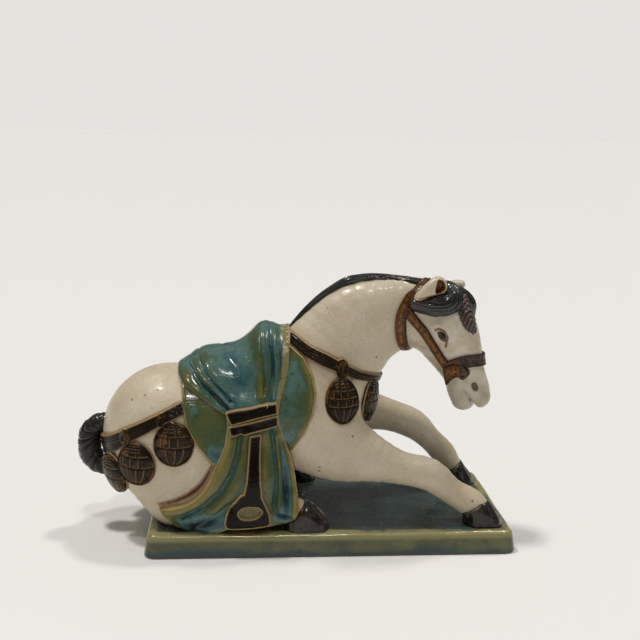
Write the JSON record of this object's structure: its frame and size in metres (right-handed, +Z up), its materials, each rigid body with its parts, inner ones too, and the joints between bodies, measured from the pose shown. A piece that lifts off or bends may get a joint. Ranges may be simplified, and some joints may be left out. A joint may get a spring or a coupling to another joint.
{
  "type": "tomb horse figure",
  "caption": "Glazed ceramic tomb horse, half lying with its forelegs stretched forward, saddled and draped, on a flat oblong plinth.",
  "frame": {"origin": "centre of the plinth's underside", "axes": "+X along the plinth towards the horse's head, +Z up, -Y out of the side the horse turns its head to"},
  "size_m": [0.3291, 0.1298, 0.2042],
  "materials": {
    "white_glaze": "cream white lead glaze with brown, black, amber and blue-green glazed trappings",
    "green_glaze": "olive green and blue glaze, pooled dark on the top"
  },
  "bodies": {
    "root": {"horse": "white_glaze", "plinth": "green_glaze"}
  },
  "joints": []
}
